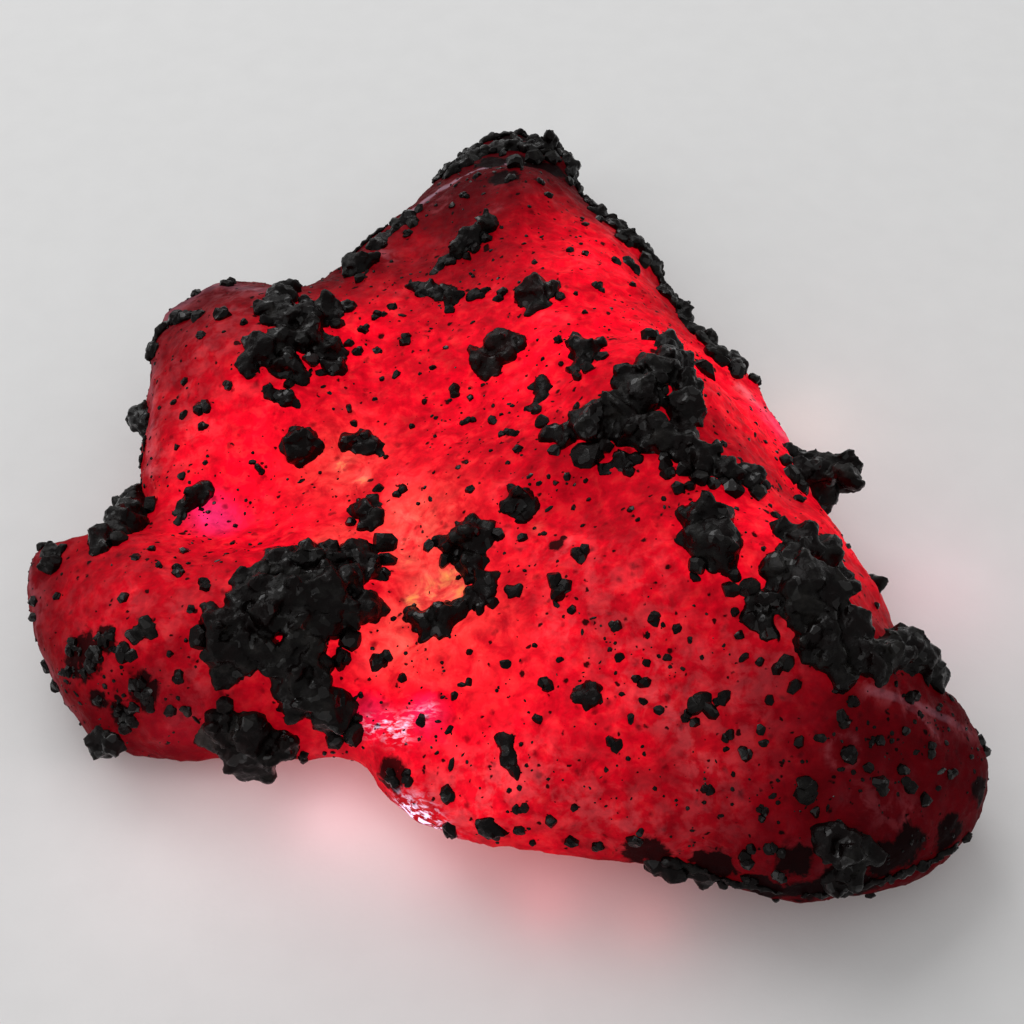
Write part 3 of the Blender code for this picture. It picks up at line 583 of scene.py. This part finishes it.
def ruby_material(look):
    """Rough corundum, tumbled by water and lit through: red light of the body painted as its own glow, a waxy skin,
    frosted on its ridges with a painted sheen, and painted glints.
    """
    made = bpy.data.materials.new("water_worn_ruby")
    made.use_nodes = True
    tree = made.node_tree
    shader = tree.nodes["Principled BSDF"]
    place = add_node(tree, "ShaderNodeTexCoord").outputs["Object"]
    kept = {
        name: add_node(tree, "ShaderNodeAttribute", {"attribute_name": name}).outputs["Fac"]
        for name in ("glow", "warmth", "glare", "frost_and_sheen", "stain")
    }
    along = add_node(tree, "ShaderNodeMapping", None, {"Vector": place, "Scale": (1.0, 3.0, 3.0)}).outputs[0]

    # Cloudy flaws 4.5 mm across, crazed veins 1.6 mm, streaks of frost and painted sheen 1.1 mm and mottles 1 mm, as
    # the photo shows them.
    # The worn grain is 0.3 mm, coarser than the real one, which is too fine to show. Flecks of painted glint are 0.9
    # mm long
    clouds = {}
    for name, where, size, detail, twist in (
        ("flaws", place, 0.0045, 3.0, 0.0),
        ("veins", place, 0.0016, 5.0, 0.8),
        ("streaks", place, 0.0011, 6.0, 0.4),
        ("mottles", place, 0.0010, 5.0, 0.4),
        ("grain", place, 0.0003, 2.0, 0.0),
        ("glint_flecks", along, 0.0009, 3.0, 0.4),
    ):
        sockets = {"Vector": where, "Scale": 1 / size, "Detail": detail, "Roughness": 0.6, "Distortion": twist}
        clouds[name] = add_node(tree, "ShaderNodeTexNoise", None, sockets).outputs["Fac"]

    # Dark dots, up to 0.25 mm out of round, in cells 1.2, 0.55 and 0.8 mm across: each cell's own chance sets how wide
    # its dot is. The last kind is only dark red
    uneven_by = 0.0005
    sockets = {"Vector": place, "Scale": 1 / uneven_by, "Detail": 2.0}
    wobble = add_node(tree, "ShaderNodeTexNoise", None, sockets).outputs["Color"]
    sockets = {0: wobble, 1: (uneven_by, uneven_by, uneven_by), 2: place}
    uneven = add_node(tree, "ShaderNodeVectorMath", {"operation": "MULTIPLY_ADD"}, sockets).outputs[0]
    dots = []
    for size, chance, spread, soft in (
        (0.0012, 0.60, 0.44, 0.07),
        (0.00055, 0.62, 0.52, 0.10),
        (0.0008, 0.72, 0.60, 0.25),
    ):
        cells = add_node(tree, "ShaderNodeTexVoronoi", None, {"Vector": uneven, "Scale": 1 / size})
        own = add_node(tree, "ShaderNodeSeparateColor", None, {"Color": cells.outputs["Color"]}).outputs[0]
        sockets = {0: own, 1: -spread, 2: chance * spread}
        outside = add_node(tree, "ShaderNodeMath", {"operation": "MULTIPLY_ADD"}, sockets).outputs[0]
        sockets = {0: cells.outputs["Distance"], 1: outside}
        outside = add_node(tree, "ShaderNodeMath", {"operation": "ADD"}, sockets).outputs[0]
        sockets = {"Value": outside, "From Max": soft}
        dots.append(add_node(tree, "ShaderNodeMapRange", None, sockets).outputs["Result"])
    black = add_node(tree, "ShaderNodeMath", {"operation": "MULTIPLY"}, {0: dots[0], 1: dots[1]}).outputs[0]

    # The mottles make the stains' edges ragged
    sockets = {0: clouds["mottles"], 1: 1.8, 2: kept["stain"]}
    ragged = add_node(tree, "ShaderNodeMath", {"operation": "MULTIPLY_ADD"}, sockets).outputs[0]
    sockets = {"Value": ragged, "From Min": 1.36, "From Max": 1.62, "To Min": 1.0, "To Max": 0.0}
    unstained = add_node(tree, "ShaderNodeMapRange", None, sockets)
    clean = add_node(tree, "ShaderNodeMath", {"operation": "MULTIPLY"}, {0: black, 1: unstained.outputs[0]}).outputs[0]

    ranged = {}
    for name, value, low, high, to_low, to_high in (
        ("flawed", clouds["flaws"], 0.3, 0.7, 0.70, 1.22),
        ("veined", clouds["veins"], 0.34, 0.64, 0.68, 1.18),
        ("mottled", clouds["mottles"], 0.34, 0.60, 0.74, 1.14),
        ("grained", clouds["grain"], 0.3, 0.7, 0.90, 1.08),
        ("red_dots", dots[2], 0.0, 1.0, 0.40, 1.0),
        ("dots", clean, 0.0, 1.0, 0.05, 1.0),
        ("ridges", clouds["streaks"], 0.44, 0.58, 0.06, 1.0),
        ("patches", clouds["flaws"], 0.52, 0.68, 0.0, 0.13),
        ("hot_veins", clouds["veins"], 0.38, 0.60, 0.25, 1.0),
        ("hot_mottles", clouds["mottles"], 0.52, 0.72, 0.0, 0.16),
        ("painted_glint", clouds["glint_flecks"], 0.47, 0.66, 0.0, 1.0),
        ("waxy", clouds["grain"], 0.3, 0.7, 0.42, 0.66),
    ):
        sockets = {"Value": value, "From Min": low, "From Max": high, "To Min": to_low, "To Max": to_high}
        ranged[name] = add_node(tree, "ShaderNodeMapRange", None, sockets).outputs["Result"]

    light = kept["glow"]
    for name in ("flawed", "veined", "mottled", "grained", "red_dots", "dots"):
        light = add_node(tree, "ShaderNodeMath", {"operation": "MULTIPLY"}, {0: light, 1: ranged[name]}).outputs[0]

    # Shares of one colour over another: frost and painted sheen lie on the ridges in streaks and in faint patches,
    # and heat follows the veins
    shares = {}
    for name, operation, a, b, c in (
        ("patchy", "MULTIPLY", ranged["patches"], ranged["ridges"], 0.0),
        ("frost_and_sheen", "MULTIPLY_ADD", kept["frost_and_sheen"], ranged["ridges"], "patchy"),
        ("lilac", "MULTIPLY_ADD", kept["frost_and_sheen"], 1.5, -0.75),
        ("hot", "MULTIPLY_ADD", kept["warmth"], ranged["hot_veins"], ranged["hot_mottles"]),
        ("amber", "MULTIPLY_ADD", kept["warmth"], ranged["hot_veins"], -0.7),
        ("pink", "MULTIPLY", kept["warmth"], -1.0, 0.0),
        ("milky", "MULTIPLY", "frost_and_sheen", 0.55, 0.0),
        ("painted_glint", "MULTIPLY", kept["glare"], ranged["painted_glint"], 0.0),
    ):
        settings = {"operation": operation, "use_clamp": True}
        sockets = {k: shares[v] if isinstance(v, str) else v for k, v in enumerate((a, b, c))}
        shares[name] = add_node(tree, "ShaderNodeMath", settings, sockets).outputs[0]

    mix = {"data_type": "RGBA"}
    skin, glow = opaque(look.deep), opaque(look.lit)
    for name, over in (("frost_and_sheen", look.rose), ("lilac", look.lilac)):
        sockets = {"Factor": shares[name], 6: skin, 7: opaque(over)}
        skin = add_node(tree, "ShaderNodeMix", mix, sockets).outputs[2]
    sockets = {"Factor": clean, 6: opaque(look.speck), 7: skin}
    skin = add_node(tree, "ShaderNodeMix", mix, sockets).outputs[2]
    for name, over in (("hot", look.warm), ("amber", look.amber), ("pink", look.pink), ("milky", look.milk)):
        sockets = {"Factor": shares[name], 6: glow, 7: opaque(over)}
        glow = add_node(tree, "ShaderNodeMix", mix, sockets).outputs[2]
    sockets = {"Factor": 1.0, 6: glow, 7: light}
    glow = add_node(tree, "ShaderNodeMix", {**mix, "blend_type": "MULTIPLY"}, sockets).outputs[2]
    # Painted glints: pale glow in flecks right over the lamp
    sockets = {"Factor": shares["painted_glint"], 6: glow, 7: opaque(look.glare)}
    glow = add_node(tree, "ShaderNodeMix", mix, sockets).outputs[2]

    sockets = {0: clouds["grain"], 1: 0.5, 2: clouds["veins"]}
    relief = add_node(tree, "ShaderNodeMath", {"operation": "MULTIPLY_ADD"}, sockets).outputs[0]
    bump = add_node(tree, "ShaderNodeBump", None, {"Strength": 0.5, "Distance": 0.00016, "Height": relief})
    tree.links.new(skin, shader.inputs["Base Color"])
    # The painted light through the stone goes in as the stone's own glow
    tree.links.new(glow, shader.inputs["Emission Color"])
    tree.links.new(ranged["waxy"], shader.inputs["Roughness"])
    tree.links.new(bump.outputs["Normal"], shader.inputs["Normal"])
    shader.inputs["Emission Strength"].default_value = look.strength
    shader.inputs["IOR"].default_value = 1.76  # corundum
    shader.inputs["Specular IOR Level"].default_value = 0.01  # worn skin hardly shines back
    return made


def black_material(look, name, seep):
    """Black mineral grown in blocks: broken and worn faces with a dull glassy lustre. seep is how brown it gets, where
    red light seeps in, a painted light in its colour."""
    made = bpy.data.materials.new(name)
    made.use_nodes = True
    tree = made.node_tree
    shader = tree.nodes["Principled BSDF"]
    place = add_node(tree, "ShaderNodeTexCoord").outputs["Object"]

    # Faces 0.5 mm across differ in lustre, and a few are glassy. Dull patches of 1.8 mm are dust and in part a painted
    # sheen, and the skin is granular at 0.15 mm, the finest that shows
    faces = add_node(tree, "ShaderNodeTexVoronoi", None, {"Vector": place, "Scale": 1 / 0.0005})
    own = add_node(tree, "ShaderNodeSeparateColor", None, {"Color": faces.outputs["Color"]}).outputs[0]
    sockets = {"Vector": place, "Scale": 1 / 0.0018, "Detail": 5.0, "Roughness": 0.65}
    patch_noise = add_node(tree, "ShaderNodeTexNoise", None, sockets).outputs["Fac"]
    sockets = {"Vector": place, "Scale": 1 / 0.00015, "Detail": 3.0}
    grit = add_node(tree, "ShaderNodeTexNoise", None, sockets).outputs["Fac"]
    ranged = {}
    for name, value, low, high, to_low, to_high in (
        ("dust_and_painted_sheen", patch_noise, 0.50, 0.74, 0.0, 1.0),
        ("seeping", patch_noise, 0.60, 0.40, 0.0, seep),
        ("lustre", own, 0.0, 1.0, 0.16, 0.50),
        ("glassy", own, 0.16, 0.08, 0.0, 0.5),
    ):
        sockets = {"Value": value, "From Min": low, "From Max": high, "To Min": to_low, "To Max": to_high}
        ranged[name] = add_node(tree, "ShaderNodeMapRange", None, sockets).outputs["Result"]
    skin = opaque(look.black)
    for name, over in (("dust_and_painted_sheen", look.dull), ("seeping", look.brown)):
        sockets = {"Factor": ranged[name], 6: skin, 7: opaque(over)}
        skin = add_node(tree, "ShaderNodeMix", {"data_type": "RGBA"}, sockets).outputs[2]
    bump = add_node(tree, "ShaderNodeBump", None, {"Strength": 0.6, "Distance": 0.00006, "Height": grit})
    tree.links.new(skin, shader.inputs["Base Color"])
    tree.links.new(ranged["lustre"], shader.inputs["Roughness"])
    tree.links.new(ranged["glassy"], shader.inputs["Coat Weight"])
    tree.links.new(bump.outputs["Normal"], shader.inputs["Normal"])
    shader.inputs["Coat Roughness"].default_value = 0.12
    shader.inputs["IOR"].default_value = 1.62  # as in black amphibole
    shader.inputs["Specular IOR Level"].default_value = 0.07
    return made


def paper_material(look):
    """Smooth white copying paper: matt, with a faint cloudiness of its fibres, 3 mm across, and a fine tooth, drawn at
    0.4 mm because the real one is too fine to show."""
    made = bpy.data.materials.new("white_paper")
    made.use_nodes = True
    tree = made.node_tree
    shader = tree.nodes["Principled BSDF"]
    place = add_node(tree, "ShaderNodeTexCoord").outputs["Object"]
    sockets = {"Vector": place, "Scale": 1 / 0.003, "Detail": 4.0}
    fibres = add_node(tree, "ShaderNodeTexNoise", None, sockets).outputs["Fac"]
    sockets = {"Vector": place, "Scale": 1 / 0.0004, "Detail": 2.0}
    tooth = add_node(tree, "ShaderNodeTexNoise", None, sockets).outputs["Fac"]
    shade = tuple(0.94 * value for value in look.paper)
    sockets = {"Factor": fibres, 6: opaque(shade), 7: opaque(look.paper)}
    skin = add_node(tree, "ShaderNodeMix", {"data_type": "RGBA"}, sockets).outputs[2]
    bump = add_node(tree, "ShaderNodeBump", None, {"Strength": 0.15, "Distance": 0.00005, "Height": tooth})
    tree.links.new(skin, shader.inputs["Base Color"])
    tree.links.new(bump.outputs["Normal"], shader.inputs["Normal"])
    shader.inputs["Roughness"].default_value = 0.9
    shader.inputs["Specular IOR Level"].default_value = 0.2
    return made


# Operators


class RUBY_OT_stone(bpy.types.Operator):
    """Gives the red stone its worn skin and the light that comes through it, painted as the stone's own glow"""

    bl_idname = "ruby.stone"
    bl_label = "Red stone"

    def execute(self, context):
        look = context.scene.ruby_stone
        piece = copy_of_node("ruby", "ruby_stone")
        with_modifier("REMESH", mode="VOXEL", voxel_size=look.voxel)
        with_modifier("SMOOTH", factor=0.5, iterations=10)
        for name, height, size, depth in (
            ("stone_swells", look.swell, look.swell_length, 2),
            ("stone_knocks", look.knock, look.knock_length, 3),
        ):
            texture = pattern(name, "CLOUDS", noise_scale=size, noise_depth=depth)
            with_modifier("DISPLACE", texture=texture, strength=height * 2, mid_level=0.5)
        points = points_of(piece)
        points[:, 2] = np.maximum(points[:, 2], 0.0)
        piece.data.vertices.foreach_set("co", points.ravel())
        tree = skin_tree(piece)
        store(piece, "glow", FAINT_LIGHT + mounds(points, LIGHT_THROUGH, tree))
        store(piece, "warmth", mounds(points, HOT_PLACES, tree))
        store(piece, "glare", mounds(points, GLARE, tree))
        store(piece, "frost_and_sheen", frost_and_painted_sheen(points, tree))
        store(piece, "stain", stained(points, tree))
        bpy.ops.object.shade_smooth()
        piece.data.materials.append(ruby_material(look))
        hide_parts("ruby")
        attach(piece, "root")
        return {"FINISHED"}


class RUBY_OT_clusters(bpy.types.Operator):
    """Grows the black clusters from their solids, seated in the stone's skin"""

    bl_idname = "ruby.clusters"
    bl_label = "Black clusters"

    def execute(self, context):
        look = context.scene.ruby_black
        solid = copy_of_node("ruby", "stone_solid")
        stone = skin_tree(solid)
        bpy.data.objects.remove(solid)
        # The brown is painted light: the stone's red light seeping into the black mineral, drawn into its colour
        black = black_material(look, "black_glassy_mineral", 0.15)
        brown = black_material(look, "glassy_mineral_red_light_seep", 0.85)
        crystals = pattern("cluster_crystals", "VORONOI", noise_scale=look.facet, weight_1=-1.0, weight_2=1.0)
        steps = pattern("cluster_steps", "VORONOI", noise_scale=look.block, color_mode="POSITION")
        chance = random.Random(CLUSTER_SEED)
        templates = [crystal(90 + seed, 9, 2, 0.66) for seed in range(5)]
        for node in sorted(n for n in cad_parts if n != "ruby"):
            piece = copy_of_node(node, node + "_crystals")
            for vertex in piece.data.vertices:
                _, normal, _, gap = stone.find_nearest(vertex.co)
                share = min(max((SEAT_REACH - gap) / SEAT_FADE, 0.0), 1.0)
                vertex.co -= normal * look.seat * share
            joined([piece] + over_skin(piece, templates, chance, look))
            with_modifier("REMESH", mode="VOXEL", voxel_size=look.voxel)
            with_modifier("SMOOTH", factor=0.5, iterations=6)
            with_modifier("DISPLACE", texture=crystals, strength=look.facet_depth, mid_level=0.30)
            with_modifier("DISPLACE", texture=steps, strength=look.block_depth, mid_level=0.5, direction="RGB_TO_XYZ")
            with_modifier("SMOOTH", factor=0.5, iterations=1)
            bpy.ops.object.shade_smooth_by_angle(angle=CLUSTER_ANGLE)
            piece.data.materials.append(brown if node in ("black_cluster_brown", "black_patch_far") else black)
            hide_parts(node)
            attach(piece, "root")
        for template in templates:
            bpy.data.objects.remove(template)
        return {"FINISHED"}


class RUBY_OT_grains(bpy.types.Operator):
    """Sets the single black grains on the stone"""

    bl_idname = "ruby.grains"
    bl_label = "Black grains"

    def execute(self, context):
        chance = random.Random(GRAIN_SEED)
        stone = skin_tree(bpy.data.objects["ruby_stone"])
        templates = [crystal(seed, 8) for seed in range(8)]
        copies = []
        for across, down, radius in SMALL_GRAINS:
            middle, _ = spot(stone, (across, down))
            count = GROUP_COUNT if radius >= GROUP_RADIUS else 1
            for _ in range(count):
                stray = drift(chance) * radius * MM * 0.3 * (count > 1)
                place, facing, _, _ = stone.find_nearest(middle + stray)
                size = radius * MM * (chance.uniform(0.62, 0.85) if count > 1 else 1.1)
                copies.append(set_on(chance.choice(templates), place, facing, size, chance, lift=0.1))
        for across, down, radius in EDGE_CRYSTALS:
            place, facing = spot(stone, (across, down))
            copies.append(set_on(chance.choice(templates), place, facing, radius * MM * 1.2, chance, lift=0.2))
        as_piece(copies, templates, "black_single_grains", bpy.data.materials["black_glassy_mineral"])
        return {"FINISHED"}


class RUBY_OT_crusts(bpy.types.Operator):
    """Grows knobbly crusts of fused black grains along the stone's sharp edges"""

    bl_idname = "ruby.crusts"
    bl_label = "Black crusts"

    def execute(self, context):
        look = context.scene.ruby_black
        chance = random.Random(CRUST_SEED)
        stone = skin_tree(bpy.data.objects["ruby_stone"])
        templates = [crystal(70 + seed, 9, 2, 0.60) for seed in range(4)]
        copies = []
        for pixels, half_width, radius in CRUSTS:
            for a, b in zip(pixels, pixels[1:]):
                steps = max(1, round(math.dist(a, b) / CRUST_STEP))
                for step in range(steps):
                    share = (step + chance.random()) / steps
                    middle, _ = spot(stone, [a[k] + (b[k] - a[k]) * share for k in range(2)])
                    stray = drift(chance) * half_width * MM * 0.6
                    place, facing, _, _ = stone.find_nearest(middle + stray)
                    size = radius * MM * chance.uniform(0.75, 1.35)
                    copies.append(set_on(chance.choice(templates), place, facing, size, chance, lift=0.35))
        as_piece(copies, templates, "black_edge_crusts", bpy.data.materials["black_glassy_mineral"])
        with_modifier("REMESH", mode="VOXEL", voxel_size=look.voxel)
        with_modifier("SMOOTH", factor=0.5, iterations=4)
        texture = bpy.data.textures["cluster_steps"]
        with_modifier("DISPLACE", texture=texture, strength=look.block_depth, mid_level=0.5, direction="RGB_TO_XYZ")
        bpy.ops.object.shade_smooth_by_angle(angle=CRUST_ANGLE)
        return {"FINISHED"}


class RUBY_OT_specks(bpy.types.Operator):
    """Strews the finest black specks over the stone, thick in some places and thin in others"""

    bl_idname = "ruby.specks"
    bl_label = "Black specks"

    def execute(self, context):
        chance = random.Random(SPECK_SEED)
        stone = bpy.data.objects["ruby_stone"].data
        templates = [crystal(40 + seed, 4) for seed in range(4)]
        copies = []
        least, more = SPECK_RADIUS
        large, small = SPECK_PATCHES
        while len(copies) < SPECK_COUNT:
            vertex = chance.choice(stone.vertices)
            thick = noise.noise(vertex.co / large) + 0.6 * noise.noise(vertex.co / small)
            if vertex.co.z < LEAST_SPECK_HEIGHT or chance.random() > 0.35 + 1.3 * thick:
                continue
            radius = (least + more * chance.random() ** 2.5) * MM
            drawn_out = chance.uniform(1.4, 2.4) if chance.random() < LONG_SPECKS else 1.0
            template, place, facing = chance.choice(templates), vertex.co.copy(), vertex.normal.copy()
            copies.append(set_on(template, place, facing, radius, chance, lift=-0.1, drawn_out=drawn_out))
        as_piece(copies, templates, "black_specks", bpy.data.materials["black_glassy_mineral"])
        return {"FINISHED"}


class RUBY_OT_stage(bpy.types.Operator):
    """Lays the paper, sets the soft lights and the camera"""

    bl_idname = "ruby.stage"
    bl_label = "Paper, lights and camera"

    def execute(self, context):
        look = context.scene.ruby_stage
        scene = context.scene
        bpy.ops.object.select_all(action="DESELECT")
        bpy.ops.mesh.primitive_plane_add(size=PAPER_SIZE, location=(0.0, 0.0, 0.0))
        paper = bpy.context.object
        paper.name = "paper"
        paper.data.materials.append(paper_material(look))

        for name, power, width, place in (
            ("window_light", look.key_power, 0.6, Vector((-0.28, 0.42, 0.48))),
            ("fill_light", look.fill_power, 0.5, Vector((-0.55, -0.30, 0.32))),
        ):
            bpy.ops.object.light_add(type="AREA", location=place)
            lamp = bpy.context.object
            lamp.name = name
            lamp.rotation_euler = (-place).to_track_quat("-Z", "Y").to_euler()
            lamp.data.shape = "SQUARE"
            lamp.data.size = width
            lamp.data.energy = power

        # Light that leaks out under the stone and reddens the paper beside it
        for number, (place, strength, code) in enumerate(SPILT_LIGHT):
            bpy.ops.object.light_add(type="POINT", location=Vector(place) * MM)
            lamp = bpy.context.object
            lamp.name = "spilt_light_%d" % number
            lamp.data.color = linear(code)
            lamp.data.shadow_soft_size = SPILT_LIGHT_RADIUS
            lamp.data.energy = look.spill_power * strength
            lamp.visible_camera = False
            lamp.visible_glossy = False

        world = bpy.data.worlds.new("room")
        scene.world = world
        world.use_nodes = True
        background = world.node_tree.nodes["Background"]
        background.inputs["Color"].default_value = (1.0, 1.0, 1.0, 1.0)
        background.inputs["Strength"].default_value = look.room

        bpy.ops.object.camera_add(location=VIEW_CENTRE - FORWARD * VIEW_DISTANCE)
        camera = bpy.context.object
        camera.name = "camera"
        camera.rotation_euler = FORWARD.to_track_quat("-Z", "Y").to_euler()
        camera.data.lens = camera.data.sensor_width / 2 / math.tan(VIEW_HALF_ANGLE)
        camera.data.clip_start = NEAREST_SEEN
        scene.camera = camera
        scene.view_settings.view_transform = "Standard"
        return {"FINISHED"}


class RUBY_PT_parts(bpy.types.Panel):
    """Lists the pieces of the raw ruby and what can be changed"""

    bl_idname = "RUBY_PT_parts"
    bl_label = "Raw Ruby"
    bl_space_type = "VIEW_3D"
    bl_region_type = "UI"
    bl_category = "Raw Ruby"

    def draw(self, context):
        for operators, look in (
            ((RUBY_OT_stone,), context.scene.ruby_stone),
            ((RUBY_OT_clusters, RUBY_OT_grains, RUBY_OT_crusts, RUBY_OT_specks), context.scene.ruby_black),
            ((RUBY_OT_stage,), context.scene.ruby_stage),
        ):
            box = self.layout.box()
            for operator in operators:
                box.operator(operator.bl_idname)
            for name in look.bl_rna.properties.keys():
                if name not in ("rna_type", "name"):
                    box.prop(look, name)


CLASSES = (
    RubyStone,
    BlackMineral,
    PaperStage,
    RUBY_OT_stone,
    RUBY_OT_clusters,
    RUBY_OT_grains,
    RUBY_OT_crusts,
    RUBY_OT_specks,
    RUBY_OT_stage,
    RUBY_PT_parts,
)


def register():
    for kind in CLASSES:
        bpy.utils.register_class(kind)
    bpy.types.Scene.ruby_stone = bpy.props.PointerProperty(type=RubyStone)
    bpy.types.Scene.ruby_black = bpy.props.PointerProperty(type=BlackMineral)
    bpy.types.Scene.ruby_stage = bpy.props.PointerProperty(type=PaperStage)


def unregister():
    del bpy.types.Scene.ruby_stage
    del bpy.types.Scene.ruby_black
    del bpy.types.Scene.ruby_stone
    for kind in reversed(CLASSES):
        bpy.utils.unregister_class(kind)


def main():
    register()
    bpy.ops.ruby.stone()
    bpy.ops.ruby.clusters()
    bpy.ops.ruby.grains()
    bpy.ops.ruby.crusts()
    bpy.ops.ruby.specks()
    bpy.ops.ruby.stage()


if __name__ == "__main__":
    main()
